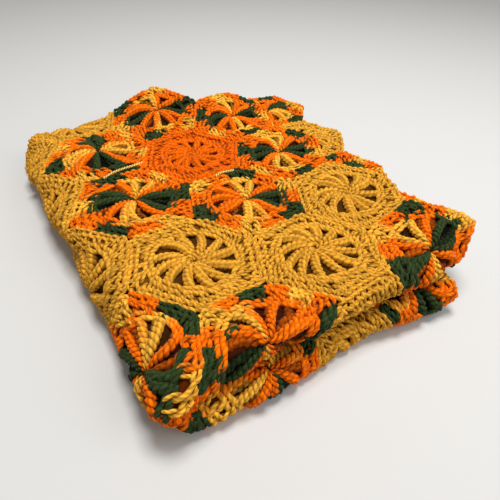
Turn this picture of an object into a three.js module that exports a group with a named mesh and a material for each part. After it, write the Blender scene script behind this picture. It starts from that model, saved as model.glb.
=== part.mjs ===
// A hexagon crochet afghan, folded in half towards its front and then in half at its left side.
//
// The blanket is first laid out flat, in its own coordinates s (across) and t (along), with the
// middle of one flower at (0, 0). It is cut into small convex facets, and each corner of a facet is
// then carried onto the folded form. Millimetres, +Z up, resting on z = 0.
import * as THREE from "three";

// ---- Driving sizes ----
const HEXAGON = 120; // one motif, across its flats
const FIRST_COLUMN = 1; // columns of motifs, counted leftwards from the free right edge
const LAST_COLUMN = -5;
const LAST_ROW = -6.5; // the last row of motifs, at the blanket's far end
const SQUARED_COLUMN = -3; // it ends in a half motif there, where the left fold crosses the far end
const THICKNESS = 8; // the crocheted fabric

const FRONT_FOLD = { s: 0, t: -315, tilt: -5.8 }; // a point on the fold line, and its tilt in degrees
const LEFT_FOLD = { s: -196, t: 0, tilt: -1.8 };
const LIP_RADIUS = 12; // the front fold, to the middle of the fabric
const LIP_PINCH = 8; // degrees by which the lip bends past level before the layers close up
const LAYER_OFFSET = 7.5; // half the distance between the two layers behind the lip
const PAIR_OFFSET = 18; // half the distance between the upper and the lower pair of layers
// The lower pair of layers reaches further forward than the upper pair, slants forward to the
// right, and is rucked up a little from left to right.
const LOWER_PAIR = { forward: -1, slant: 0.2, gather: 0.11 };
const UNDER_GATHER = 0.11; // the share by which the layers inside the front fold are rucked up
const FACET = 33; // about the size of a facet where the fabric is flat
const FACETS_PER_QUARTER = 4; // facets round a quarter turn of a fold
const FRONT_REACH = 570; // how far from each fold line its cuts go on, past the blanket's edges
const LEFT_REACH = 450;
const SMALLEST_FACET = 1e-4; // facets with less area than this, in square millimetres, are left out
const WELD = 0.02; // corners are taken as one on a grid as fine as this
const MIDDLE = { x: 25.253, y: -75.823 }; // the middle of the folded blanket, in s and t

// The folded stack isn't even: in these places it is loftier or flatter than the rest.
// x and y are a place's middle, reach is how far it spreads, loft is the share of height added, and
// rise is 1 where the whole stack takes part and more where it is mostly the upper layers.
const LOFTS = [
  { x: -115, y: 200, reach: 72, loft: -0.32, rise: 1 },
  { x: 48, y: 188, reach: 68, loft: 0.6, rise: 3 },
  { x: 105, y: 122, reach: 60, loft: 0.2, rise: 2 },
  { x: 185, y: -110, reach: 55, loft: -0.08, rise: 1 },
  { x: 10, y: -120, reach: 45, loft: -0.07, rise: 1 },
  { x: 35, y: -235, reach: 50, loft: 0.05, rise: 2 },
  { x: -100, y: -290, reach: 45, loft: 0.06, rise: 2 },
  { x: 145, y: -280, reach: 50, loft: 0.28, rise: 2 },
  { x: -185, y: -130, reach: 50, loft: -0.05, rise: 1 },
];
// Its sides aren't straight either: right and forward are how far a place is pulled.
const PULLS = [
  { x: -190, y: 200, reach: 100, right: 5, forward: 0 },
  { x: -205, y: -60, reach: 120, right: -6, forward: 0 },
  { x: -170, y: -320, reach: 85, right: -1, forward: 8 },
  { x: -20, y: -340, reach: 50, right: 0, forward: -4 },
  { x: 130, y: -345, reach: 45, right: -8, forward: -3 },
  { x: 180, y: -310, reach: 50, right: -8, forward: 0 },
  { x: 175, y: -215, reach: 50, right: 9, forward: 0 },
  { x: 205, y: -60, reach: 70, right: 8, forward: 0 },
];
// The layers also wander sideways: shift is how far, wave the length of one wave, and climb how
// much of a wave they change by from one layer to the next.
const WANDERS = [
  { along: "x", shift: 4, wave: 330, climb: 0.21 },
  { along: "x", shift: 2, wave: 120, climb: 0.33 },
  { along: "y", shift: 4, wave: 380, climb: 0.17 },
  { along: "y", shift: 2, wave: 140, climb: 0.29 },
];
const LAYER_RISE = 13; // from one layer's middle to the next, for the climb

// ---- Worked out from the sizes ----
const CORNER = HEXAGON / Math.sqrt(3); // a hexagon's middle to its corner
const COLUMN = 1.5 * CORNER; // from one column of motifs to the next
const RIGHT = FIRST_COLUMN * COLUMN + CORNER / 2; // the notches of the right edge
const LEFT = LAST_COLUMN * COLUMN - CORNER / 2; // the notches of the left edge
const BACK = HEXAGON; // the notches of the back edge
const FAR = LAST_ROW * HEXAGON; // the notches of the far end
const PINCH = THREE.MathUtils.degToRad(LIP_PINCH);
const LIP_ARC = LIP_RADIUS * (Math.PI / 2 + PINCH);
const CLOSING_RADIUS = (LIP_RADIUS * Math.cos(PINCH) - LAYER_OFFSET) / (1 - Math.cos(PINCH));
const CLOSING_ARC = CLOSING_RADIUS * PINCH;
const LIP_TAKE_UP = LIP_ARC + CLOSING_ARC - (LIP_RADIUS + CLOSING_RADIUS) * Math.sin(PINCH);
const BEND_RADIUS = PAIR_OFFSET + LAYER_OFFSET; // the outer layer round the left fold
const BEND_ARC = (BEND_RADIUS * Math.PI) / 2;
const MID_HEIGHT = PAIR_OFFSET + LAYER_OFFSET + THICKNESS / 2;

// ---- The blanket laid out flat ----
function hexagonHalf(s, t, upwards) {
  // The half of a hexagon above or below its middle line.
  return [
    new THREE.Vector2(s - CORNER, t),
    new THREE.Vector2(s + CORNER, t),
    new THREE.Vector2(s + CORNER / 2, t + (upwards * HEXAGON) / 2),
    new THREE.Vector2(s - CORNER / 2, t + (upwards * HEXAGON) / 2),
  ];
}

function sideTooth(edge, outwards, t, low) {
  // The part of a motif that stands out past the notches of the right or the left edge.
  return [
    new THREE.Vector2(edge, low),
    new THREE.Vector2(edge + (outwards * CORNER) / 2, t),
    new THREE.Vector2(edge, t + HEXAGON / 2),
  ];
}

function flatPanels() {
  const panels = [
    [
      new THREE.Vector2(LEFT, FAR),
      new THREE.Vector2(RIGHT, FAR),
      new THREE.Vector2(RIGHT, BACK),
      new THREE.Vector2(LEFT, BACK),
    ],
  ];
  for (let column = LAST_COLUMN; column <= FIRST_COLUMN; column += 1) {
    const middle = column * COLUMN;
    if (column % 2 === 0) panels.push(hexagonHalf(middle, BACK, 1));
    else if (column !== SQUARED_COLUMN) panels.push(hexagonHalf(middle, FAR, -1));
  }
  for (let t = FAR; t < BACK; t += HEXAGON) {
    const low = Math.max(t - HEXAGON / 2, FAR);
    panels.push(sideTooth(RIGHT, 1, t, low));
    panels.push(sideTooth(LEFT, -1, t, low));
  }
  // A half motif squares off the back edge next to the left fold.
  panels.push(hexagonHalf(-COLUMN, BACK + HEXAGON / 2, -1));
  return panels.map((panel) => (THREE.ShapeUtils.isClockWise(panel) ? panel.reverse() : panel));
}

function liesBetween(point, from, to) {
  const side = to.clone().sub(from);
  const reach = point.clone().sub(from);
  const along = reach.dot(side) / side.lengthSq();
  return along > 1e-6 && along < 1 - 1e-6 && Math.abs(reach.cross(side)) < 1e-6 * side.lengthSq();
}

function joinCorners(panels) {
  // Each side of a panel gets its neighbours' corners that lie on it, so that panels share them.
  const corners = panels.flat();
  return panels.map((panel) =>
    panel.flatMap((from, i) => {
      const to = panel[(i + 1) % panel.length];
      const shared = corners.filter((corner) => liesBetween(corner, from, to));
      shared.sort((a, b) => a.distanceToSquared(from) - b.distanceToSquared(from));
      return [from, ...shared.filter((p, k) => k === 0 || p.distanceTo(shared[k - 1]) > 1e-3)];
    }),
  );
}

// ---- The cuts that make facets, along the two fold lines ----
function foldFrame(fold) {
  const tilt = THREE.MathUtils.degToRad(fold.tilt);
  return { origin: new THREE.Vector2(fold.s, fold.t), tilt };
}

const front = foldFrame(FRONT_FOLD);
front.along = new THREE.Vector2(Math.cos(front.tilt), Math.sin(front.tilt));
front.across = new THREE.Vector2(-Math.sin(front.tilt), Math.cos(front.tilt));
const left = foldFrame(LEFT_FOLD);
left.across = new THREE.Vector2(Math.cos(left.tilt), Math.sin(left.tilt));
left.along = new THREE.Vector2(-Math.sin(left.tilt), Math.cos(left.tilt));

function cutsFrom(bends, reach) {
  // Distances from a fold line, the same on both of its sides.
  const cuts = [...bends];
  const last = bends[bends.length - 1];
  const count = Math.ceil((reach - last) / FACET);
  for (let i = 1; i <= count; i += 1) cuts.push(last + (i * (reach - last)) / count);
  const mirrored = cuts.slice(1).map((cut) => -cut);
  return [...mirrored.reverse(), ...cuts];
}

function frontCuts() {
  const bends = [];
  for (let i = 0; i <= FACETS_PER_QUARTER; i += 1) {
    bends.push((i * LIP_RADIUS * Math.PI) / 2 / FACETS_PER_QUARTER);
  }
  bends.push(LIP_ARC, LIP_ARC + CLOSING_ARC / 2, LIP_ARC + CLOSING_ARC);
  return cutsFrom(bends, FRONT_REACH);
}

function leftCuts() {
  const bends = [];
  for (let i = 0; i <= FACETS_PER_QUARTER; i += 1) {
    bends.push((i * BEND_ARC) / FACETS_PER_QUARTER);
  }
  return cutsFrom(bends, LEFT_REACH);
}

function keepSide(polygon, frame, offset, sign) {
  // The part of a convex polygon on one side of a line parallel to a fold.
  const height = (p) => sign * (p.clone().sub(frame.origin).dot(frame.across) - offset);
  const kept = [];
  polygon.forEach((from, i) => {
    const to = polygon[(i + 1) % polygon.length];
    const a = height(from);
    const b = height(to);
    if (a >= 0) kept.push(from);
    if ((a > 0 && b < 0) || (a < 0 && b > 0)) kept.push(from.clone().lerp(to, a / (a - b)));
  });
  return kept;
}

function areaOf(polygon) {
  return Math.abs(THREE.ShapeUtils.area(polygon));
}

function sliced(polygons, frame, cuts) {
  const slices = [];
  for (const polygon of polygons) {
    for (let i = 0; i + 1 < cuts.length; i += 1) {
      const above = keepSide(polygon, frame, cuts[i], 1);
      if (above.length < 3) continue;
      const slice = keepSide(above, frame, cuts[i + 1], -1);
      if (slice.length >= 3 && areaOf(slice) > SMALLEST_FACET) slices.push(slice);
    }
  }
  return slices;
}

// ---- The folded form ----
function lip(distance) {
  // At this distance from the fold line of the flat blanket: how far behind that line the folded
  // fabric is, and how far from the middle of its two layers. shift keeps the lower layer flat.
  const way = Math.abs(distance);
  let back = way;
  let offset = LAYER_OFFSET;
  if (way < LIP_ARC) {
    const angle = way / LIP_RADIUS;
    back = LIP_TAKE_UP - LIP_RADIUS * Math.cos(angle);
    offset = LIP_RADIUS * Math.sin(angle);
  } else if (way < LIP_ARC + CLOSING_ARC) {
    const angle = PINCH - (way - LIP_ARC) / CLOSING_RADIUS;
    back = LIP_ARC + CLOSING_ARC - CLOSING_RADIUS * Math.sin(angle);
    offset = LIP_RADIUS * Math.cos(PINCH) - CLOSING_RADIUS * (Math.cos(angle) - Math.cos(PINCH));
  }
  if (distance < -LIP_ARC) back -= UNDER_GATHER * (way - LIP_ARC);
  const level = way < (LIP_RADIUS * Math.PI) / 2 ? LIP_RADIUS : offset;
  return { back, offset: Math.sign(distance) * offset, shift: level - LAYER_OFFSET };
}

function bend(distance, offset) {
  // The same for the left fold, whose turn is round: sideways from its line, up from its middle, and
  // how far the way round it is from the upper pair of layers, 0, to the lower pair, 1.
  const radius = PAIR_OFFSET + offset;
  const angle = THREE.MathUtils.clamp(distance, -BEND_ARC, BEND_ARC) / BEND_RADIUS;
  const turned = Math.abs(distance) < BEND_ARC;
  const right = turned ? BEND_ARC - radius * Math.cos(angle) : Math.abs(distance);
  return { right, up: radius * Math.sin(angle), lower: (1 - Math.sin(angle)) / 2 };
}

function lofted(x, y, lift) {
  let share = 1;
  for (const place of LOFTS) {
    const away = Math.hypot(x - place.x, y - place.y) / place.reach;
    share += place.loft * Math.exp(-away * away) * (lift / (2 * MID_HEIGHT)) ** (place.rise - 1);
  }
  return lift * share;
}

function pulled(x, y) {
  let right = 0;
  let forward = 0;
  for (const place of PULLS) {
    const away = Math.hypot(x - place.x, y - place.y) / place.reach;
    right += place.right * Math.exp(-away * away);
    forward += place.forward * Math.exp(-away * away);
  }
  return { right, forward };
}

function wander(position, layer, axis) {
  let shift = 0;
  for (const w of WANDERS) {
    if (w.along === axis) {
      shift += w.shift * Math.sin(2 * Math.PI * (position / w.wave + w.climb * layer));
    }
  }
  return shift;
}

function folded(s, t) {
  // Where the middle of the fabric lies at a point of the flat blanket.
  const flat = new THREE.Vector2(s, t).sub(front.origin);
  const { back, offset, shift } = lip(flat.dot(front.across));
  const once = front.origin.clone();
  once.addScaledVector(front.along, flat.dot(front.along));
  once.addScaledVector(front.across, back);
  const rest = once.sub(left.origin);
  const { right, up, lower } = bend(rest.dot(left.across), offset);
  const twice = left.origin.clone();
  twice.addScaledVector(left.along, rest.dot(left.along));
  twice.addScaledVector(left.across, right);
  twice.x -= lower * LOWER_PAIR.gather * right;
  twice.y -= lower * (LOWER_PAIR.forward + LOWER_PAIR.slant * right);
  const height = MID_HEIGHT + up + shift;
  const layer = height / LAYER_RISE;
  const pull = pulled(twice.x, twice.y);
  return new THREE.Vector3(
    twice.x + pull.right + wander(twice.y, layer, "x"),
    twice.y - pull.forward + wander(twice.x, layer, "y"),
    THICKNESS / 2 + lofted(twice.x, twice.y, height - THICKNESS / 2),
  );
}

function facing(s, t) {
  // The direction that the right side of the fabric faces there.
  const step = 0.2;
  const across = folded(s + step, t).sub(folded(s - step, t));
  const along = folded(s, t + step).sub(folded(s, t - step));
  return across.cross(along).normalize();
}

// ---- The solid ----
function makeAfghan() {
  const facets = sliced(sliced(joinCorners(flatPanels()), front, frontCuts()), left, leftCuts());
  const points = [];
  const numbers = new Map();
  const numberOf = (p) => {
    const key = `${Math.round(p.x / WELD)} ${Math.round(p.y / WELD)}`;
    if (!numbers.has(key)) {
      numbers.set(key, points.length);
      points.push(p);
    }
    return numbers.get(key);
  };
  const triangles = [];
  for (const facet of facets) {
    const ring = facet.map(numberOf).filter((n, i, all) => n !== all[(i + 1) % all.length]);
    for (let i = 1; i + 1 < ring.length; i += 1) {
      if (ring[0] !== ring[i + 1]) triangles.push([ring[0], ring[i], ring[i + 1]]);
    }
  }
  const positions = [];
  for (const side of [1, -1]) {
    for (const p of points) {
      const at = folded(p.x, p.y).addScaledVector(facing(p.x, p.y), (side * THICKNESS) / 2);
      positions.push(at.x - MIDDLE.x, at.y - MIDDLE.y, Math.max(at.z, 0));
    }
  }
  const index = [];
  const under = points.length;
  const edges = new Set(triangles.flatMap(([a, b, c]) => [`${a} ${b}`, `${b} ${c}`, `${c} ${a}`]));
  for (const [a, b, c] of triangles) {
    index.push(a, b, c, under + a, under + c, under + b);
    for (const [from, to] of [[a, b], [b, c], [c, a]]) {
      // An edge that no other triangle shares is the rim of the blanket.
      if (edges.has(`${to} ${from}`)) continue;
      index.push(from, under + from, under + to, from, under + to, to);
    }
  }
  const geometry = new THREE.BufferGeometry();
  geometry.setAttribute("position", new THREE.Float32BufferAttribute(positions, 3));
  geometry.setIndex(index);
  geometry.computeVertexNormals();
  return geometry;
}

const yarn = new THREE.MeshStandardMaterial({ color: 0xd9a441, roughness: 0.9, metalness: 0 });
const afghan = new THREE.Mesh(makeAfghan(), yarn);
afghan.name = "afghan";

const blanket = new THREE.Group();
blanket.add(afghan);
export default blanket;
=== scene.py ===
"""The looks of a hexagon crochet afghan, folded in half towards its front and again at its left side.

Every stitch is made flat, in the blanket's own coordinates: s across, t along and h out of the
fabric, in millimetres, with the middle of one flower at (0, 0). The stitches are then carried onto
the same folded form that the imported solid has.
"""

import math

import bpy
import numpy as np
from mathutils import Matrix, Vector


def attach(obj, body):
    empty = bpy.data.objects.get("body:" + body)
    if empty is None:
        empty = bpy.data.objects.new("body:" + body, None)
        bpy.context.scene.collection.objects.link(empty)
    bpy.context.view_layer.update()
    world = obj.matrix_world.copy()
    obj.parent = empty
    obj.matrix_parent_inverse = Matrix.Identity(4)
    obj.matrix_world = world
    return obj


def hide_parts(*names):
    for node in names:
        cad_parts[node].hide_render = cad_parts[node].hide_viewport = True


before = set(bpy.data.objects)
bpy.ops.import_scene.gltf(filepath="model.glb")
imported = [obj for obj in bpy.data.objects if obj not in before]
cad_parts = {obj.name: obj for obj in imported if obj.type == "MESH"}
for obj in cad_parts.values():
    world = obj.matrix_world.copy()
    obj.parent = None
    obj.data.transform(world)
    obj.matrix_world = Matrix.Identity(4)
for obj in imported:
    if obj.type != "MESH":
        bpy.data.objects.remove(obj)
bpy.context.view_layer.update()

# ---- The blanket's sizes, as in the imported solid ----
HEXAGON = 120.0
FIRST_COLUMN, LAST_COLUMN = 1, -5
FIRST_ROW, LAST_ROW = 1.0, -6.5
ROWS = 8
SQUARED_COLUMN = -3
THICKNESS = 8.0
FRONT_FOLD = {"s": 0, "t": -315, "tilt": -5.8}
LEFT_FOLD = {"s": -196, "t": 0, "tilt": -1.8}
LIP_RADIUS = 12.0
LIP_PINCH = 8
LAYER_OFFSET = 7.5
PAIR_OFFSET = 18.0
LOWER_PAIR = {"forward": -1, "slant": 0.2, "gather": 0.11}
UNDER_GATHER = 0.11
MIDDLE = (25.253, -75.823)
# Where the stack is loftier or flatter: x, y, reach, loft (the share of height added), and rise, which
# is 1 where the whole stack takes part and more where it is mostly the upper layers.
LOFTS = [
    (-115, 200, 72, -0.32, 1),
    (48, 188, 68, 0.6, 3),
    (105, 122, 60, 0.2, 2),
    (185, -110, 55, -0.08, 1),
    (10, -120, 45, -0.07, 1),
    (35, -235, 50, 0.05, 2),
    (-100, -290, 45, 0.06, 2),
    (145, -280, 50, 0.28, 2),
    (-185, -130, 50, -0.05, 1),
]
# Where its sides are pulled out or in: x, y, reach, right, forward.
PULLS = [
    (-190, 200, 100, 5, 0),
    (-205, -60, 120, -6, 0),
    (-170, -320, 85, -1, 8),
    (-20, -340, 50, 0, -4),
    (130, -345, 45, -8, -3),
    (180, -310, 50, -8, 0),
    (175, -215, 50, 9, 0),
    (205, -60, 70, 8, 0),
]
# Where loose stitches have slid along the fabric: at s, at t, reach, across, along.
SLIDES = [
    (104, -300, 45, -13, -10),
    (-104, -300, 45, -6, 7),
    (-208, -240, 45, 14, -9),
    (-312, -300, 40, -8, 3),
    (-104, -60, 40, 3, 4),
    (-104, 60, 40, 0, 11),
    (0, 120, 40, 8, 11),
    (0, -240, 40, 4, 9),
]
# How its layers wander sideways: along, shift, wave, and climb from one layer to the next.
WANDERS = [("x", 4, 330, 0.21), ("x", 2, 120, 0.33), ("y", 4, 380, 0.17), ("y", 2, 140, 0.29)]
LAYER_RISE = 13.0
FLOOR_GAP = 0.15

CORNER = HEXAGON / math.sqrt(3)
COLUMN = 1.5 * CORNER
APOTHEM = HEXAGON / 2
PINCH = math.radians(LIP_PINCH)
LIP_ARC = LIP_RADIUS * (math.pi / 2 + PINCH)
CLOSING_RADIUS = (LIP_RADIUS * math.cos(PINCH) - LAYER_OFFSET) / (1 - math.cos(PINCH))
CLOSING_ARC = CLOSING_RADIUS * PINCH
LIP_TAKE_UP = LIP_ARC + CLOSING_ARC - (LIP_RADIUS + CLOSING_RADIUS) * math.sin(PINCH)
BEND_RADIUS = PAIR_OFFSET + LAYER_OFFSET
BEND_ARC = BEND_RADIUS * math.pi / 2
MID_HEIGHT = PAIR_OFFSET + LAYER_OFFSET + THICKNESS / 2


# ---- The folded form ----
def lip(distance):
    """How far back the fabric lies past a front lip, how far over its pair's middle, and its lift."""
    way = np.abs(distance)
    angle = way / LIP_RADIUS
    closing = PINCH - (way - LIP_ARC) / CLOSING_RADIUS
    round_lip, closes = way < LIP_ARC, way < LIP_ARC + CLOSING_ARC
    back = np.where(closes, LIP_ARC + CLOSING_ARC - CLOSING_RADIUS * np.sin(closing), way)
    back = np.where(round_lip, LIP_TAKE_UP - LIP_RADIUS * np.cos(angle), back)
    closed = LIP_RADIUS * math.cos(PINCH) - CLOSING_RADIUS * (np.cos(closing) - math.cos(PINCH))
    offset = np.where(closes, closed, LAYER_OFFSET)
    offset = np.where(round_lip, LIP_RADIUS * np.sin(angle), offset)
    back = np.where(distance < -LIP_ARC, back - UNDER_GATHER * (way - LIP_ARC), back)
    level = np.where(way < LIP_RADIUS * math.pi / 2, LIP_RADIUS, offset)
    return back, np.sign(distance) * offset, level - LAYER_OFFSET


def bend(distance, offset):
    """How far right and how high the fabric lies past the left bend, and how far down it is, 0 to 1."""
    radius = PAIR_OFFSET + offset
    angle = np.clip(distance, -BEND_ARC, BEND_ARC) / BEND_RADIUS
    turned = np.abs(distance) < BEND_ARC
    right = np.where(turned, BEND_ARC - radius * np.cos(angle), np.abs(distance))
    return right, radius * np.sin(angle), (1 - np.sin(angle)) / 2


def lofted(x, y, lift):
    share = np.ones_like(x)
    for px, py, reach, loft, rise in LOFTS:
        away = ((x - px) ** 2 + (y - py) ** 2) / reach**2
        share += loft * np.exp(-away) * (np.abs(lift) / (2 * MID_HEIGHT)) ** (rise - 1)
    return lift * share


def pulled(x, y):
    right, forward = np.zeros_like(x), np.zeros_like(x)
    for px, py, reach, to_right, to_front in PULLS:
        share = np.exp(-((x - px) ** 2 + (y - py) ** 2) / reach**2)
        right += to_right * share
        forward += to_front * share
    return right, forward


def wander(position, layer, axis):
    return sum(
        shift * np.sin(2 * math.pi * (position / wave + climb * layer))
        for along, shift, wave, climb in WANDERS
        if along == axis
    )


def folded(s, t):
    """Where the middle of the fabric lies at points of the flat blanket, before MIDDLE is taken off."""
    tilt, lean = math.radians(FRONT_FOLD["tilt"]), math.radians(LEFT_FOLD["tilt"])
    along, across = (math.cos(tilt), math.sin(tilt)), (-math.sin(tilt), math.cos(tilt))
    ds, dt = s - FRONT_FOLD["s"], t - FRONT_FOLD["t"]
    back, offset, shift = lip(ds * across[0] + dt * across[1])
    run = ds * along[0] + dt * along[1]
    x = FRONT_FOLD["s"] + along[0] * run + across[0] * back - LEFT_FOLD["s"]
    y = FRONT_FOLD["t"] + along[1] * run + across[1] * back - LEFT_FOLD["t"]
    along, across = (-math.sin(lean), math.cos(lean)), (math.cos(lean), math.sin(lean))
    right, up, lower = bend(x * across[0] + y * across[1], offset)
    run = x * along[0] + y * along[1]
    x = LEFT_FOLD["s"] + along[0] * run + across[0] * right
    y = LEFT_FOLD["t"] + along[1] * run + across[1] * right
    x = x - lower * LOWER_PAIR["gather"] * right
    y = y - lower * (LOWER_PAIR["forward"] + LOWER_PAIR["slant"] * right)
    height = MID_HEIGHT + up + shift
    layer = height / LAYER_RISE
    to_right, to_front = pulled(x, y)
    return np.stack(
        [
            x + to_right + wander(y, layer, "x"),
            y - to_front + wander(x, layer, "y"),
            THICKNESS / 2 + lofted(x, y, height - THICKNESS / 2),
        ],
        -1,
    )


def facing(s, t, step=0.4):
    across = folded(s + step, t) - folded(s - step, t)
    along = folded(s, t + step) - folded(s, t - step)
    normal = np.cross(across, along)
    return normal / np.linalg.norm(normal, axis=-1, keepdims=True)


def placed(flat):
    """Points (s, t, h) of the flat blanket on the folded form, and the way out of the fabric there."""
    s, t = flat[..., 0], flat[..., 1]
    to_s, to_t = np.zeros_like(s), np.zeros_like(t)
    for at_s, at_t, reach, slide_s, slide_t in SLIDES:
        share = np.exp(-((s - at_s) ** 2 + (t - at_t) ** 2) / reach**2)
        to_s += slide_s * share
        to_t += slide_t * share
    s, t = s + to_s, t + to_t
    out = facing(s, t)
    return folded(s, t) + out * flat[..., 2:] - np.array([*MIDDLE, 0.0]), out


# ---- Colours ----
def linear(level):
    """A linear value from an sRGB level, 0 to 255."""
    return ((level / 255 + 0.055) / 1.055) ** 2.4 if level > 10 else level / 255 / 12.92


def rgb(*levels):
    return np.array([linear(level) for level in levels])


TAN = rgb(216, 154, 46)
ORANGE = rgb(228, 99, 0)
BRIGHT = rgb(238, 109, 2)
YELLOW = rgb(235, 171, 54)
GREEN = rgb(47, 63, 30)
PALE = rgb(250, 212, 120)
# The variegated yarn's colours in turn; the numbers are shares of its repeat.
YARN_REPEAT = [(GREEN, 0.28), (BRIGHT, 0.25), (YELLOW, 0.22), (BRIGHT, 0.25)]
# The long stitches of round 1 take up the same yarn more evenly.
SPOKE_REPEAT = [(GREEN, 0.28), (BRIGHT, 0.24), (YELLOW, 0.25), (BRIGHT, 0.23)]
SPOKE_START = 0.155
# In some motifs round 1 takes up green only once, and orange in its place the second time.
NO_GREEN = [(BRIGHT, 0.28), *SPOKE_REPEAT[1:]]
DYE_RUNS = 0.018
# Painted shade, since light doesn't get down between the stitches: how dark the yarn is there, how
# brown, and how low it has to be for that.
CREVICE_SHADE = {"share": 0.3, "brown": (1.0, 0.8, 0.5), "deep": 0.2}
# Painted shade the same way where the strands of one rope lie against each other, as shares of the
# rope's width; past GROOVE_EDGE none of the colour is lost.
GROOVE = {"share": 0.4, "brown": (1.0, 0.88, 0.72), "deep": 0.33}
GROOVE_EDGE = 0.49


def variegated(phase, repeat=YARN_REPEAT):
    """The yarn's colour at points of its repeat, 0 to 1, as an array of colours."""
    colours = np.zeros(phase.shape + (3,))
    for run in (-DYE_RUNS, 0, DYE_RUNS):
        place = np.mod(phase + run, 1.0)
        low = 0.0
        for colour, share in repeat:
            colours[(place >= low) & (place < low + share + 1e-9)] += colour / 3
            low += share
    # Green comes first in the repeat, and doesn't run into the others.
    colours[np.mod(phase - DYE_RUNS, 1.0) > 1 - 2 * DYE_RUNS] = repeat[-1][0]
    green_ends = repeat[0][1]
    colours[np.abs(np.mod(phase, 1.0) - green_ends) < DYE_RUNS] = repeat[1][0]
    colours[np.mod(phase, 1.0) < green_ends] = repeat[0][0]
    return colours


def round_one_colours(motif, turned):
    """Round 1 goes through the yarn's repeat twice: turned is how far round from the green, 0 to 1."""
    phase = 2 * turned + SPOKE_START
    colours = variegated(phase, SPOKE_REPEAT)
    if motif["greens"] == 1:
        second = np.mod(phase, 2) >= 1
        colours[second] = variegated(phase[second], NO_GREEN)
    return colours


def shade(measure, limits, high):
    """What is left of the yarn's colour under painted shade: none of it is lost where the measure is high
    or more.
    """
    rise = np.clip((measure - limits["deep"]) / (high - limits["deep"]), 0, 1)
    rise = (rise * rise * (3 - 2 * rise))[..., None]
    dark = limits["share"] * np.array(limits["brown"])
    return dark + (1 - dark) * rise


# ---- Stitches, flat ----
# Loose ends of joining yarn: from at s, at t to at s, at t.
TAILS = [(-118, -2, -62, 13), (0, -64, 27, -64)]
TAIL_COLUMN = -1
TAIL = {"height": 6.5, "width": 3.4, "pitch": 7.0, "rings": 40, "sides": 5, "sway": 0.8}
SPOKES = 12
WHEEL = 43.0
POSTS_A_SPACE = 4
CORNER_ROUND = 7.0
# A half motif's stitches keep this far from its straight edge, and those nearer on average are left out.
HALF_CLEARANCE, HALF_NEAREST = 1.5, 2.0
# UNDER_SHADE is painted shade on the back halves of round 1's stitches, which lie under the others; below
# LIT_HEIGHT strands get painted shade.
UNDER_SHADE = 0.5
LIT_HEIGHT = 3.0
# The stitches' arches over the fabric and their widths, in millimetres, and their twist's pitch.
SPOKE = {"start": 2.0, "foot": -0.7, "rise": 2.9, "narrow": 4.0, "width": 10.0, "pitch": 10.4}
UNDER_SPOKE = {"foot": -1.6, "flat": 0.3}
POST = {"foot": -0.9, "rise": 2.6, "width": 6.9, "pitch": 19.0, "inside_wheel": 2.0, "short_of_edge": 3.5}
CHAIN = {"foot": -1.9, "rise": 4.6, "overlap": 1.4}
EDGE_CHAIN = {"inset": 4.4, "lift": 0.5, "width": 4.5, "spread": 3.1}
RING_CHAIN = {"inset": 0.6, "width": 5.4, "spread": 2.8}
# Rings along each strand and sides round it, stitches in the ring and chain stitches a side.
STITCH_FINE = {"spoke": (28, 5), "under": (13, 4), "post": (9, 5), "chain": (5, 5), "ring": 24, "a_side": 9}
STITCH_PLAIN = {"spoke": (9, 4), "under": None, "post": (4, 4), "chain": (4, 4), "ring": 0, "a_side": 7}
# Where the two strands of a rope lie and how thick they are, as shares of the rope's width.
ROPE_OFFSET, ROPE_STRAND = 0.245, 0.285
# How the three yarns are worked, and the variegated one on the front fold: wheel is round 1's reach and
# lit the height from which no painted shade darkens the yarn; swirl is how far round the spokes turn
# (degrees), uneven how unevenly they lie, puff how high and fat how wide they are, and under and
# under_reach how wide their back halves are and how far they reach.
WORK_COLUMNS = ("wheel", "lit", "swirl", "uneven", "puff", "fat", "under", "under_reach")
WORK = {
    "tan": (WHEEL, LIT_HEIGHT, 18, 0.045, 1.0, 1.14, 0, 0),
    "orange": (38.0, 1.3, 12, 0.05, 0.6, 1.12, 1.0, 21),
    "variegated": (WHEEL, 4.6, 7, 0.115, 1.4, 1.1, 0.8, WHEEL),
    "lip": (WHEEL, LIT_HEIGHT, 4, 0.12, 1.4, 0.95, 1.25, WHEEL),
}


def frames_of(paths, out):
    """The ways across and over paths (k, n, 3), and how far along them each of their points lies."""
    ahead = np.gradient(paths, axis=1)
    ahead /= np.linalg.norm(ahead, axis=2, keepdims=True) + 1e-9
    side = np.cross(ahead, out)
    side /= np.linalg.norm(side, axis=2, keepdims=True) + 1e-9
    steps = np.linalg.norm(np.diff(paths, axis=1), axis=2)
    length = np.concatenate([np.zeros((len(paths), 1)), np.cumsum(steps, axis=1)], axis=1)
    return side, np.cross(side, ahead), length


def tubes(paths, out, radii, sides):
    """Open tubes round paths (k, n, 3): their points, quads and (along, around) for each corner."""
    k, n, _ = paths.shape
    side, over, length = frames_of(paths, out)
    turn = 2 * math.pi * np.arange(sides) / sides
    turn = turn[None, None, :, None]
    ring = np.cos(turn) * side[:, :, None] + np.sin(turn) * over[:, :, None]
    points = paths[:, :, None] + radii[:, :, None, None] * ring
    strand = np.arange(k)[:, None, None] * n * sides
    i, j = np.arange(n - 1)[None, :, None], np.arange(sides)[None, None, :]
    after = (j + 1) % sides
    quads = np.stack(
        [
            strand + i * sides + j,
            strand + i * sides + after,
            strand + (i + 1) * sides + after,
            strand + (i + 1) * sides + j,
        ],
        -1,
    ).reshape(-1, 4)
    low = np.broadcast_to(length[:, :-1, None], (k, n - 1, sides))
    high = np.broadcast_to(length[:, 1:, None], (k, n - 1, sides))
    a = np.broadcast_to(j / sides, low.shape)
    b = np.broadcast_to((j + 1) / sides, low.shape)
    corners = ((low, a), (low, b), (high, b), (high, a))
    uv = np.stack([np.stack(corner, -1) for corner in corners], 3)
    return points, quads, uv.reshape(-1, 4, 2)


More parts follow.
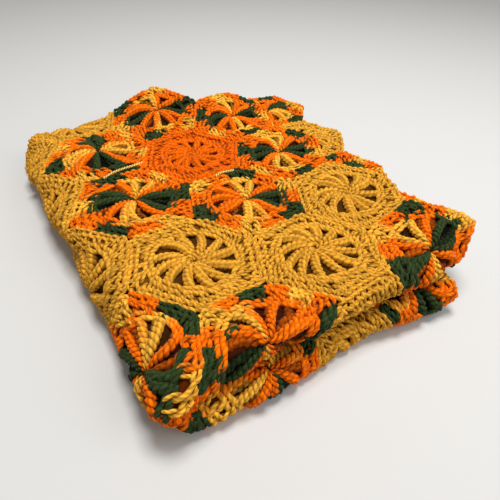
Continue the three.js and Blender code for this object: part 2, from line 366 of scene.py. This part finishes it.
def rope(line, out, width, pitch, phase):
    """The paths of the two strands of ropes twisted about lines (k, n, 3)."""
    side, over, length = frames_of(line, out)
    paths = []
    for start in (0, math.pi):
        turn = 2 * math.pi * length / pitch + start + phase[:, None]
        away = np.cos(turn)[..., None] * side + np.sin(turn)[..., None] * over
        paths.append(line + ROPE_OFFSET * width[:, :, None] * away)
    return np.concatenate(paths)


def rim(angle):
    """A hexagon's reach from its middle, as a share of its apothem, in that direction."""
    return 1 / np.cos(np.mod(angle, math.pi / 3) - math.pi / 6)


def swirl_at(reach, swirl):
    """How far round the spokes have turned at that distance from the middle."""
    return swirl * (np.clip(reach / WHEEL, 0, 1) ** 2.4 - 0.35)


class Stitches:
    """Strands gathered up for one mesh."""

    def __init__(self):
        self.points, self.quads, self.uv, self.colours, self.count = [], [], [], [], 0

    def add(self, points, quads, uv, colours):
        self.points.append(points)
        self.quads.append(quads + self.count)
        self.uv.append(uv)
        self.colours.append(colours)
        self.count += len(points)

    def strands(self, flat, width, sides, colours, twist, lit):
        """Strands, or ropes of two strands if they have a twist, along flat lines (k, n, 3).

        colours is (strands, n, 3): a colour for each ring of each strand. From the height lit up it is
        the yarn's own colour, and below that it is darkened with painted shade.
        """
        line, out = placed(flat)
        paths, radii = line, width / 2
        if twist:
            paths = rope(line, out, width, *twist)
            line, out, width, flat = (np.concatenate([of, of]) for of in (line, out, width, flat))
            radii = ROPE_STRAND * width
        points, quads, uv = tubes(paths, out, radii, sides)
        off_line = points - line[:, :, None]
        height = flat[:, :, None, 2] + (off_line * out[:, :, None]).sum(axis=3)
        # Painted shade: the lower a point of a strand lies, the darker and browner its colour.
        colours = colours[:, :, None] * shade(np.abs(height), CREVICE_SHADE, lit)
        if twist:
            # Painted shade where the two strands of a rope lie against each other.
            from_middle = np.linalg.norm(off_line, axis=3) / width[:, :, None]
            colours = colours * shade(from_middle, GROOVE, GROOVE_EDGE)
        self.add(points.reshape(-1, 3), quads, uv, colours.reshape(-1, 3))


def spokes(motif, detail, rng, under=False):
    """Round 1: twelve long twisted stitches from a tight middle, swirled a little."""
    rings, sides = detail["under" if under else "spoke"]
    share = np.linspace(0, 1, rings)[None, :]
    even = (np.arange(SPOKES) + (0 if under else 0.5)) * 2 * math.pi / SPOKES
    base = even + rng.normal(0, motif["uneven"], SPOKES)
    far = motif["under_reach"] if under else motif["wheel"]
    start = SPOKE["start"]
    reach = start + (far + rng.normal(0, 1.0, SPOKES)[:, None] - start) * share
    wave = rng.normal(0, motif["uneven"], SPOKES)[:, None] * np.sin(math.pi * share)
    swirl = swirl_at(reach, motif["swirl"]) * rng.uniform(0.75, 1.25, SPOKES)[:, None]
    angle = base[:, None] + swirl + wave
    bulge = np.sin(math.pi * np.clip(share, 0, 1) ** 0.75) ** 0.8
    arch = SPOKE["foot"] + SPOKE["rise"] * motif["puff"] * rng.uniform(0.7, 1.3, SPOKES)[:, None] * bulge
    if under:
        arch = UNDER_SPOKE["foot"] + UNDER_SPOKE["flat"] * arch
    line = np.stack([reach * np.cos(angle), reach * np.sin(angle), arch], -1)
    widest = SPOKE["width"] * rng.uniform(0.9, 1.1, SPOKES)[:, None]
    width = SPOKE["narrow"] + (widest - SPOKE["narrow"]) * np.clip(share * 2.4, 0, 1) ** 0.8
    width = width * np.clip((1.1 - share) * 5, 0.7, 1) * motif["fat"]
    if under:
        width = width * motif["under"]
    twist = SPOKE["pitch"] * rng.uniform(0.92, 1.1), rng.uniform(0, 2 * math.pi, SPOKES)
    return line, width, sides, even, twist


def under_spokes(motif, detail, rng):
    """The back halves of round 1's stitches, which show between the others."""
    return spokes(motif, detail, rng, under=True)


def posts(motif, detail, rng):
    """Round 2: stitches worked in fans into the spaces of round 1, out to the edge."""
    count = SPOKES * POSTS_A_SPACE
    rings, sides = detail["post"]
    share = np.linspace(0, 1, rings)[None, :]
    base = (np.arange(count) + 0.5) * 2 * math.pi / count
    if detail["under"]:
        base = np.concatenate([base, np.arange(6) * math.pi / 3])
        count = len(base)
    base = base + rng.normal(0, 0.014, count)
    space = (np.round(base / (2 * math.pi) * SPOKES - 0.5) + 0.5) * 2 * math.pi / SPOKES
    foot = space + 0.62 * (base - space) + rng.normal(0, 0.02, count) - 0.06
    start = motif["wheel"] - POST["inside_wheel"] + rng.normal(0, 0.9, count)
    end = (APOTHEM - POST["short_of_edge"]) * (0.92 * rim(base) + 0.08)
    reach = start[:, None] + (end - start)[:, None] * share
    lean = rng.normal(0.03, 0.02, count)[:, None]
    angle = foot[:, None] + (base - foot)[:, None] * share + lean * np.sin(math.pi * 0.5 * share)
    lift = POST["rise"] * motif["puff"] * rng.uniform(0.35, 1.5, count)[:, None]
    arch = POST["foot"] + lift * np.sin(math.pi * (0.1 + 0.8 * share)) ** 0.9
    line = np.stack([reach * np.cos(angle), reach * np.sin(angle), arch], -1)
    widening = 0.84 + 0.36 * share * rim(base)[:, None]
    width = POST["width"] * rng.uniform(0.85, 1.12, count)[:, None] * widening
    twist = POST["pitch"] * rng.uniform(0.8, 1.2), rng.uniform(0, 2 * math.pi, count)
    return line, width, sides, base, twist


def chain_legs(centre, ahead, out, pitch, width, spread, rings, rng):
    """The legs of a row of V stitches, whose centre, ahead and out are (k, 3)."""
    share = np.linspace(0, 1, rings)[None, :, None]
    legs = []
    for hand in (1, -1):
        uneven = rng.uniform(0.8, 1.2, len(centre))[:, None, None]
        apart = hand * (0.25 + spread * uneven * np.sin(math.pi * 0.86 * share**0.85))
        rise = CHAIN["foot"] + CHAIN["rise"] * uneven * np.sin(math.pi * (0.08 + 0.8 * share)) ** 0.8
        legs.append(
            centre[:, None]
            + ahead[:, None] * (share - 0.2) * pitch * CHAIN["overlap"]
            + out[:, None] * apart
            + np.array([0.0, 0.0, 1.0]) * rise
        )
    lines = np.concatenate(legs)
    swell = width * (0.65 + 0.4 * np.sin(math.pi * (0.1 + 0.8 * share[..., 0])))
    return lines, np.broadcast_to(swell, lines.shape[:2]).copy()


def outline(inset, corner, count):
    """Points spread evenly round a hexagon with rounded corners, and the ways ahead and out there."""
    straight = (inset - corner) / math.sqrt(3)
    side_length = 2 * straight + corner * math.pi / 3
    centres, aheads, outs = [], [], []
    for i in range(count):
        side, along = divmod(i * 6 * side_length / count, side_length)
        along -= side_length / 2
        normal = math.radians(30 + 60 * side)
        turn = math.copysign(max(abs(along) - straight, 0) / corner, along)
        slide = min(max(along, -straight), straight)
        out = np.array([math.cos(normal + turn), math.sin(normal + turn), 0.0])
        middle = (inset - corner) * np.array([math.cos(normal), math.sin(normal), 0.0])
        middle += slide * np.array([-math.sin(normal), math.cos(normal), 0.0])
        centres.append(middle + corner * out)
        aheads.append([-out[1], out[0], 0.0])
        outs.append(out)
    return np.array(centres), np.array(aheads), np.array(outs), 6 * side_length / count


def edge_chain(motif, detail, rng):
    """The V shaped tops of the stitches, along the six sides."""
    rings, sides = detail["chain"]
    count = 6 * detail["a_side"]
    centres, aheads, outs, pitch = outline(APOTHEM - EDGE_CHAIN["inset"], CORNER_ROUND, count)
    centres += outs * rng.normal(0, 0.3, count)[:, None]
    centres[:, 2] += EDGE_CHAIN["lift"] + rng.normal(0, 0.3, count)
    sizes = EDGE_CHAIN["width"], EDGE_CHAIN["spread"]
    lines, width = chain_legs(centres, aheads, outs, pitch, *sizes, rings, rng)
    base = np.tile(np.arctan2(centres[:, 1], centres[:, 0]), 2)
    if motif["both_sides"]:
        lines = np.concatenate([lines, lines * np.array([1.0, 1.0, -1.0])])
        width, base = np.tile(width, (2, 1)), np.tile(base, 2)
    return lines, width, sides, base, None


def ring_chain(motif, detail, rng):
    """The tops of round 1, which the posts of round 2 stand in."""
    count = detail["ring"]
    rings, sides = detail["chain"]
    base = np.arange(count) * 2 * math.pi / count + rng.normal(0, 0.03, count)
    out = np.stack([np.cos(base), np.sin(base), np.zeros(count)], -1)
    ahead = np.stack([-np.sin(base), np.cos(base), np.zeros(count)], -1)
    centre = out * (motif["wheel"] - RING_CHAIN["inset"] + rng.normal(0, 0.8, count)[:, None])
    pitch = 2 * math.pi * motif["wheel"] / count
    sizes = RING_CHAIN["width"], RING_CHAIN["spread"]
    lines, width = chain_legs(centre, ahead, out, pitch, *sizes, rings, rng)
    return lines, width, sides, np.tile(base, 2), None


def stitch_colours(motif, base, rings, round_number, rng):
    """The colours of strands at those angles, ring by ring."""
    strands = len(base)
    tone = rng.uniform(0.84, 1.1, strands)[:, None, None]
    if motif["kind"] == "tan":
        return np.broadcast_to(TAN, (strands, rings, 3)) * tone
    if motif["kind"] == "orange":
        return np.broadcast_to(ORANGE, (strands, rings, 3)) * tone
    along = np.linspace(0, 1, rings)[None, :]
    turned = (base[:, None] - motif["green"]) / (2 * math.pi)
    if round_number == 1:
        return round_one_colours(motif, turned + 0.015 * along) * tone
    a_post = 1 / (SPOKES * POSTS_A_SPACE)
    place = np.mod(base / (2 * math.pi), 1.0)
    turned = (np.floor(place / a_post) * a_post)[:, None] - motif["green"] / (2 * math.pi)
    phase = motif["runs"] * turned + motif["phase"] + 0.04 * along
    return variegated(phase) * tone


def kept_of(motif, lines, width, base, twist):
    """Only the stitches of a half motif that lie on its half, held clear of its straight edge."""
    if not motif["half"]:
        return lines, width, base, twist
    inside = (lines[:, :, 1] * motif["half"]).mean(axis=1) > HALF_NEAREST
    lines = lines[inside]
    too_low = lines[:, :, 1] * motif["half"] < HALF_CLEARANCE
    lines[:, :, 1] = np.where(too_low, HALF_CLEARANCE * motif["half"], lines[:, :, 1])
    if twist:
        twist = twist[0], twist[1][inside]
    return lines, width[inside], base[inside], twist


def add_motif(stitches, motif, detail):
    rng = np.random.default_rng(motif["seed"])
    made = [(spokes, 1), (posts, 2), (edge_chain, 3)]
    if detail["under"] and motif["under"]:
        made.append((under_spokes, 1))
    if detail["ring"]:
        made.append((ring_chain, 1))
    for make, round_number in made:
        lines, width, sides, base, twist = make(motif, detail, rng)
        lines, width, base, twist = kept_of(motif, lines, width, base, twist)
        if twist:
            base = np.tile(base, 2)
        colours = stitch_colours(motif, base, lines.shape[1], round_number, rng)
        # Painted shade: the back halves lie under the other stitches.
        if make is under_spokes:
            colours = colours * UNDER_SHADE
        lines = lines * np.array([1.0, 1.0, motif["face"]]) + np.array([motif["s"], motif["t"], 0.0])
        stitches.strands(lines, width, sides, colours, twist, motif["lit"])


def add_tail(stitches, from_s, from_t, to_s, to_t):
    """A loose end of joining yarn, left lying along a seam."""
    share = np.linspace(0, 1, TAIL["rings"])
    s = from_s + (to_s - from_s) * share
    t = from_t + (to_t - from_t) * share + TAIL["sway"] * np.sin(7 * share)
    height = TAIL["height"] * np.sin(math.pi * (0.12 + 0.76 * share)) ** 0.5
    line = np.stack([s, t, height], -1)[None]
    width = np.full((1, TAIL["rings"]), TAIL["width"])
    colours = np.broadcast_to(PALE, (2, TAIL["rings"], 3))
    stitches.strands(line, width, TAIL["sides"], colours, (TAIL["pitch"], np.zeros(1)), LIT_HEIGHT)


# ---- The ground that the stitches hide: a thin web, deeper between the spokes and coloured with painted shade ----
WEB_FINE = {"sectors": 48, "rings": [3.0, 9.0, 16.0, 22.0, 28.0, 34.0, 40.0, 49.0, 58.0]}
WEB_PLAIN = {"sectors": 24, "rings": [6.0, 22.0, 40.0, 58.0]}
WEB_DEEP = {"from": 20.0, "short_of_wheel": 2.0, "depth": 2.6}
WEB_HALF = 0.7
# Painted shade on the web: how dark it is between the spokes, under round 2, and all over its wrong side.
WEB_PAINTED_SHADE = {"tan": (0.1, 0.24), "orange": (0.1, 0.8), "variegated": (0.04, 0.12)}
WEB_WRONG_SIDE_SHADE = 0.4


def web_points(motif, web):
    """Rings of points from the middle to near the hexagon's edge."""
    rings = []
    base = np.arange(web["sectors"]) * 2 * math.pi / web["sectors"]
    for reach in web["rings"]:
        blend = np.clip((reach - WHEEL) / (APOTHEM - WHEEL), 0, 1)
        out = reach * (1 + 0.85 * blend * (rim(base) - 1))
        swirl = swirl_at(reach, motif["swirl"]) * (1 - blend)
        rings.append(np.stack([out * np.cos(base + swirl), out * np.sin(base + swirl)], -1))
    return np.array(rings)


def add_web(stitches, motif, web):
    """One motif's web: a thin closed shell, whose first half of points is the side with the stitches."""
    sectors = web["sectors"]
    rings = web_points(motif, web)
    n = len(rings)
    flat = np.concatenate([rings.reshape(-1, 2), [[0.0, 0.0]]])
    if motif["half"]:
        flat[:, 1] = np.where(flat[:, 1] * motif["half"] < 0, 0, flat[:, 1])
    faces = []
    for j in range(sectors):
        after = (j + 1) % sectors
        faces.append([n * sectors, j, after])
        for i in range(n - 1):
            inner, outer = i * sectors, (i + 1) * sectors
            faces.append([inner + j, outer + j, outer + after, inner + after])
    # The half that is left out of a half motif has no area, once its points are on the middle line.
    faces = [face for face in faces if abs(polygon_area(flat[face])) > 1e-3]
    edges = {(a, b) for face in faces for a, b in zip(face, face[1:] + face[:1])}
    count = len(flat)
    triangles = []
    for face in faces:
        for i in range(1, len(face) - 1):
            triangles.append([face[0], face[i], face[i + 1]])
            triangles.append([face[0] + count, face[i + 1] + count, face[i] + count])
    for a, b in sorted(edges):
        if (b, a) not in edges:
            triangles.append([b, a, a + count])
            triangles.append([b, a + count, b + count])
    reach, angle = np.hypot(flat[:, 0], flat[:, 1]), np.arctan2(flat[:, 1], flat[:, 0])
    in_gap = (reach > WEB_DEEP["from"]) & (reach < motif["wheel"] - WEB_DEEP["short_of_wheel"])
    to_spoke = np.cos(SPOKES * (angle - swirl_at(reach, motif["swirl"])))
    depth = WEB_DEEP["depth"] * in_gap * np.clip(0.5 + to_spoke, 0, 1)
    points = np.concatenate([np.column_stack([flat, side * WEB_HALF - depth]) for side in (1, -1)])
    points = points * np.array([1.0, 1.0, motif["face"]]) + np.array([motif["s"], motif["t"], 0.0])
    points, _ = placed(points)
    triangles = np.array(triangles)[:, :: motif["face"]]
    if motif["kind"] == "variegated":
        turned = (angle - motif["green"]) / (2 * math.pi)
        in_wheel = (reach < motif["wheel"])[:, None]
        round_two_colours = variegated(motif["runs"] * turned + motif["phase"])
        colours = np.where(in_wheel, round_one_colours(motif, turned), round_two_colours)
        colours = np.tile(colours, (2, 1))
    else:
        colours = np.broadcast_to(TAN if motif["kind"] == "tan" else ORANGE, (len(points), 3))
    # Painted shade: the web takes the yarn's colour, darkened and browned as the gaps between stitches look
    # in shade.
    dark = np.full((len(points), 1), WEB_WRONG_SIDE_SHADE)
    between, under_posts = WEB_PAINTED_SHADE[motif["kind"]]
    dark[:count, 0] = np.where(reach < motif["wheel"], between, under_posts)
    colours = colours * dark * np.array(CREVICE_SHADE["brown"])
    stitches.add(points, triangles, np.zeros((len(triangles), 3, 2)), colours)


def polygon_area(ring):
    x, y = ring[:, 0], ring[:, 1]
    return 0.5 * float(np.dot(x, np.roll(y, -1)) - np.dot(y, np.roll(x, -1)))


# ---- The motifs ----
FLOWER_COLUMNS, FLOWER_ROWS = 2, 3
PATTERN_REACH = 12
# Beyond this row, past the front fold, the flowers lie one row further from the fold.
SHIFTED_ROW = -3.6


def kind_of(column, row):
    """Flowers: one solid orange middle with six variegated motifs round it, on a tan ground."""
    if row < SHIFTED_ROW:
        row = row + 1
    for middle_column in range(-PATTERN_REACH, PATTERN_REACH + 1, FLOWER_COLUMNS):
        for middle_row in range(-PATTERN_REACH, PATTERN_REACH + 1, FLOWER_ROWS):
            if (middle_column // FLOWER_COLUMNS + middle_row // FLOWER_ROWS) % 2:
                continue
            ds, dt = (column - middle_column) * COLUMN, (row - middle_row) * HEXAGON
            away = math.hypot(ds, dt) / HEXAGON
            if away < 0.5:
                return "orange"
            if away < 1.1:
                return "variegated"
    return "tan"


# How the variegated yarn falls in a motif, by column and row: the angle of its green spokes, how
# often they are green, the yarn's repeats round round 2, and where in the repeat round 2 starts.
# Other motifs take them at random.
YARN_STARTS = {
    (-1, -0.5): (-20, 2, 2.9, 0.19),
    (0, -1.0): (-30, 1, 3.0, 0.43),
    (-1, 0.5): (90, 2, 3.6, 0.2),
    (0, 1.0): (-10, 2, 2.9, 0.12),
    (1, 0.5): (-10, 2, 3.0, 0.83),
    (1, -0.5): (-22, 2, 3.0, 0.79),
    (-2, -2.0): (120, 2, 3.2, 0.08),
    (-1, -2.5): (196, 1, 3.9, 0.49),
    (1, -2.5): (5, 2, 3.0, 0.69),
    (-2, -3.0): (90, 2, 3.2, 0.32),
    (-3, -2.5): (105, 2, 3.2, 0.47),
}
# The two half motifs, and the side of their middle line that they lie on.
BACK_HALF = (-1, 1.5)
HALVES = {BACK_HALF: -1, (SQUARED_COLUMN, LAST_ROW): 1}
# Motifs with their middles in this stretch of t lie on the front fold or next to it.
LIPS = (-480, -150)
# Columns before this one lie past the left bend, in the lower pair of layers.
UPPER_COLUMN = -2
# Rows beyond the first of these, right of the bend, are in the second layer, and rows before the second,
# past the bend, are in the fourth. Beyond the third, right of the bend, the edges show from both sides.
SECOND_LAYER, FOURTH_LAYER, BOTH_SIDES = -3.4, -1.9, -4.6
# Motifs within ON_TOP show on top, and those of the first column past STANDS_OUT at the right edge.
ON_TOP = {"s": -270, "t": -460}
STANDS_OUT = -500


def faces_up(column, row):
    """Whether the stitches are on the front: the second and fourth layers are seen from behind."""
    if column >= UPPER_COLUMN:
        return row >= SECOND_LAYER
    return row <= FOURTH_LAYER


def motifs():
    made = []
    cells = []
    for column in range(LAST_COLUMN, FIRST_COLUMN + 1):
        start = FIRST_ROW if column % 2 == 0 else FIRST_ROW - 0.5
        cells += [(column, start - i) for i in range(ROWS)]
    cells.append(BACK_HALF)
    for column, row in cells:
        seed = 1000 + (column + 10) * 50 + int(round((row + 10) * 2))
        rng = np.random.default_rng(seed + 7)
        at_random = rng.choice([-30, 30, 90]), 2, rng.uniform(3.1, 3.7), rng.uniform(0, 1)
        green, greens, runs, phase = YARN_STARTS.get((column, row), at_random)
        kind = kind_of(column, row)
        on_lip = kind == "variegated" and LIPS[0] < row * HEXAGON < LIPS[1]
        worked = dict(zip(WORK_COLUMNS, WORK["lip" if on_lip else kind]))
        made.append(
            {
                **worked,
                "column": column,
                "s": column * COLUMN,
                "t": row * HEXAGON,
                "kind": kind,
                "green": math.radians(green),
                "greens": greens,
                "runs": runs,
                "phase": phase,
                "half": HALVES.get((column, row), 0),
                "seed": seed,
                "face": 1 if faces_up(column, row) else -1,
                "both_sides": column >= UPPER_COLUMN and row < BOTH_SIDES,
                "swirl": math.radians(worked["swirl"]) * rng.uniform(0.8, 1.1),
            }
        )
    return made


def is_fine(motif):
    """Full stitches where the blanket shows: the top, the folds, and the edges that stand out."""
    s, t = motif["s"], motif["t"]
    on_top = t > ON_TOP["t"] and s > ON_TOP["s"]
    lips = LIPS[0] < t < LIPS[1]
    stands_out = motif["column"] == FIRST_COLUMN and t < STANDS_OUT
    return on_top or lips or stands_out


# ---- Meshes ----
def mesh_of(name, stitches, material):
    points = np.concatenate(stitches.points)
    points[:, 2] = np.maximum(points[:, 2], FLOOR_GAP)
    points /= 1000
    colours = np.concatenate(stitches.colours)
    polygons = np.concatenate(stitches.quads)
    uv = np.concatenate(stitches.uv)
    corners = polygons.shape[1]
    mesh = bpy.data.meshes.new(name)
    mesh.vertices.add(len(points))
    mesh.vertices.foreach_set("co", points.astype(np.float32).ravel())
    mesh.loops.add(polygons.size)
    mesh.loops.foreach_set("vertex_index", polygons.astype(np.int32).ravel())
    mesh.polygons.add(len(polygons))
    mesh.polygons.foreach_set("loop_start", np.arange(len(polygons), dtype=np.int32) * corners)
    mesh.polygons.foreach_set("loop_total", np.full(len(polygons), corners, dtype=np.int32))
    mesh.polygons.foreach_set("use_smooth", np.ones(len(polygons), dtype=bool))
    layer = mesh.uv_layers.new(name="ply")
    layer.data.foreach_set("uv", uv.astype(np.float32).ravel())
    attribute = mesh.attributes.new("yarn", "FLOAT_COLOR", "POINT")
    opaque = np.column_stack([colours, np.ones(len(colours))])
    attribute.data.foreach_set("color", opaque.astype(np.float32).ravel())
    mesh.update()
    mesh.validate()
    mesh.materials.append(material)
    piece = bpy.data.objects.new(name, mesh)
    bpy.context.scene.collection.objects.link(piece)
    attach(piece, "root")
    return piece


# ---- Materials ----
def node(tree, kind, **inputs):
    made = tree.nodes.new(kind)
    for key, value in inputs.items():
        if hasattr(made, key):
            setattr(made, key, value)
        else:
            made.inputs[key.replace("_", " ")].default_value = value
    return made


def maths(tree, operation, *values):
    made = tree.nodes.new("ShaderNodeMath")
    made.operation = operation
    for i, value in enumerate(values):
        if isinstance(value, (int, float)):
            made.inputs[i].default_value = value
        else:
            tree.links.new(value, made.inputs[i])
    return made.outputs[0]


PLIES, PLY_PITCH = 3.0, 5.2


def yarn_material(name):
    material = bpy.data.materials.new(name)
    material.use_nodes = True
    tree = material.node_tree
    shader = tree.nodes["Principled BSDF"]
    shader.inputs["Roughness"].default_value = 0.85
    shader.inputs["Specular IOR Level"].default_value = 0.06
    shader.inputs["Sheen Weight"].default_value = 0.05
    shader.inputs["Sheen Roughness"].default_value = 0.45
    shader.inputs["Sheen Tint"].default_value = (1.0, 0.84, 0.58, 1)
    colour = node(tree, "ShaderNodeAttribute", attribute_name="yarn")
    uv = node(tree, "ShaderNodeUVMap", uv_map="ply")
    parts = node(tree, "ShaderNodeSeparateXYZ")
    tree.links.new(uv.outputs["UV"], parts.inputs[0])
    place = node(tree, "ShaderNodeTexCoord")
    # The finer plies that each strand is spun from: ridges that run round it as they run along it.
    along = maths(tree, "MULTIPLY", parts.outputs[0], 1 / PLY_PITCH)
    around = maths(tree, "MULTIPLY", parts.outputs[1], PLIES)
    turn = maths(tree, "MULTIPLY", maths(tree, "ADD", along, around), 2 * math.pi)
    ridge = maths(tree, "MULTIPLY", maths(tree, "ADD", maths(tree, "SINE", turn), 1.0), 0.5)
    fibre = node(tree, "ShaderNodeTexNoise", Scale=900.0, Detail=4.0, Roughness=0.65)
    tree.links.new(place.outputs["Object"], fibre.inputs["Vector"])
    blotch = node(tree, "ShaderNodeTexNoise", Scale=45.0, Detail=2.0, Roughness=0.5)
    tree.links.new(place.outputs["Object"], blotch.inputs["Vector"])
    ridges = maths(tree, "MULTIPLY", ridge, 0.75)
    fibres = maths(tree, "MULTIPLY", fibre.outputs["Fac"], 0.6)
    relief = maths(tree, "ADD", ridges, fibres)
    bump = node(tree, "ShaderNodeBump", Strength=0.55, Distance=0.0007)
    tree.links.new(relief, bump.inputs["Height"])
    tree.links.new(bump.outputs["Normal"], shader.inputs["Normal"])
    # Painted shade between the plies and a little painted highlight on their tops; the yarn is also a
    # little uneven in colour.
    tone = maths(tree, "ADD", maths(tree, "MULTIPLY", ridge, 0.5), 0.6)
    tone = maths(tree, "ADD", tone, maths(tree, "MULTIPLY", fibre.outputs["Fac"], 0.16))
    blotches = maths(tree, "ADD", maths(tree, "MULTIPLY", blotch.outputs["Fac"], 0.3), 0.87)
    tone = maths(tree, "MULTIPLY", tone, blotches)
    scaled = node(tree, "ShaderNodeVectorMath", operation="SCALE")
    tree.links.new(colour.outputs["Color"], scaled.inputs[0])
    tree.links.new(tone, scaled.inputs["Scale"])
    tree.links.new(scaled.outputs["Vector"], shader.inputs["Base Color"])
    return material


# ---- The camera, in metres, degrees and millimetres, and the stage ----
CAMERA = {
    "at": (-0.26, -0.3575, 0.3348),
    "azimuth": 38.18,
    "down": 42.74,
    "roll": 2.82,
    "lens": 29.26,
}
FLOOR_REACH = 8


def add_camera():
    data = bpy.data.cameras.new("camera")
    data.lens = CAMERA["lens"]
    data.clip_start = 0.01
    camera = bpy.data.objects.new("camera", data)
    bpy.context.scene.collection.objects.link(camera)
    azimuth, down, roll = (math.radians(CAMERA[key]) for key in ("azimuth", "down", "roll"))
    forward = Vector((math.sin(azimuth), math.cos(azimuth), 0))
    level = Vector((math.cos(azimuth), -math.sin(azimuth), 0))
    ahead = math.cos(down) * forward - math.sin(down) * Vector((0, 0, 1))
    right = math.cos(roll) * level + math.sin(roll) * level.cross(ahead)
    up = right.cross(ahead)
    turned = Matrix((right, up, -ahead)).transposed().to_4x4()
    camera.matrix_world = Matrix.Translation(CAMERA["at"]) @ turned
    bpy.context.scene.camera = camera


def add_light(name, at, size, power):
    """A square area light that points at the blanket."""
    data = bpy.data.lights.new(name, "AREA")
    data.size = size
    data.energy = power
    light = bpy.data.objects.new(name, data)
    bpy.context.scene.collection.objects.link(light)
    light.location = at
    light.rotation_euler = (-Vector(at)).to_track_quat("-Z", "Y").to_euler()


def add_stage():
    mesh = bpy.data.meshes.new("floor")
    corners = [(FLOOR_REACH * x, FLOOR_REACH * y, 0) for x, y in ((-1, -1), (1, -1), (1, 1), (-1, 1))]
    mesh.from_pydata(corners, [], [(0, 1, 2, 3)])
    floor = bpy.data.objects.new("floor", mesh)
    bpy.context.scene.collection.objects.link(floor)
    material = bpy.data.materials.new("floor")
    material.use_nodes = True
    shader = material.node_tree.nodes["Principled BSDF"]
    shader.inputs["Base Color"].default_value = (0.6, 0.592, 0.575, 1)
    shader.inputs["Roughness"].default_value = 0.9
    mesh.materials.append(material)
    world = bpy.data.worlds.new("studio")
    world.use_nodes = True
    background = world.node_tree.nodes["Background"]
    background.inputs["Color"].default_value = (1, 0.99, 0.97, 1)
    background.inputs["Strength"].default_value = 0.3
    bpy.context.scene.world = world
    add_light("key", (0.12, 0.0, 1.7), 0.6, 28.5)
    add_light("fill", (0.9, -1.3, 1.2), 1.4, 14.5)
    bpy.context.scene.view_settings.view_transform = "Standard"


# ---- Making it all ----
add_camera()
yarn = yarn_material("crochet_yarn")
ground_stitches = Stitches()
columns = {}
all_motifs = motifs()
for motif in all_motifs:
    add_web(ground_stitches, motif, WEB_FINE if is_fine(motif) else WEB_PLAIN)
    stitches = columns.setdefault(motif["column"], Stitches())
    add_motif(stitches, motif, STITCH_FINE if is_fine(motif) else STITCH_PLAIN)
for tail in TAILS:
    add_tail(columns[TAIL_COLUMN], *tail)
ground = mesh_of("ground", ground_stitches, yarn)
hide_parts("afghan")
for column, stitches in sorted(columns.items()):
    mesh_of(f"motifs_{column - LAST_COLUMN + 1}", stitches, yarn)
add_stage()
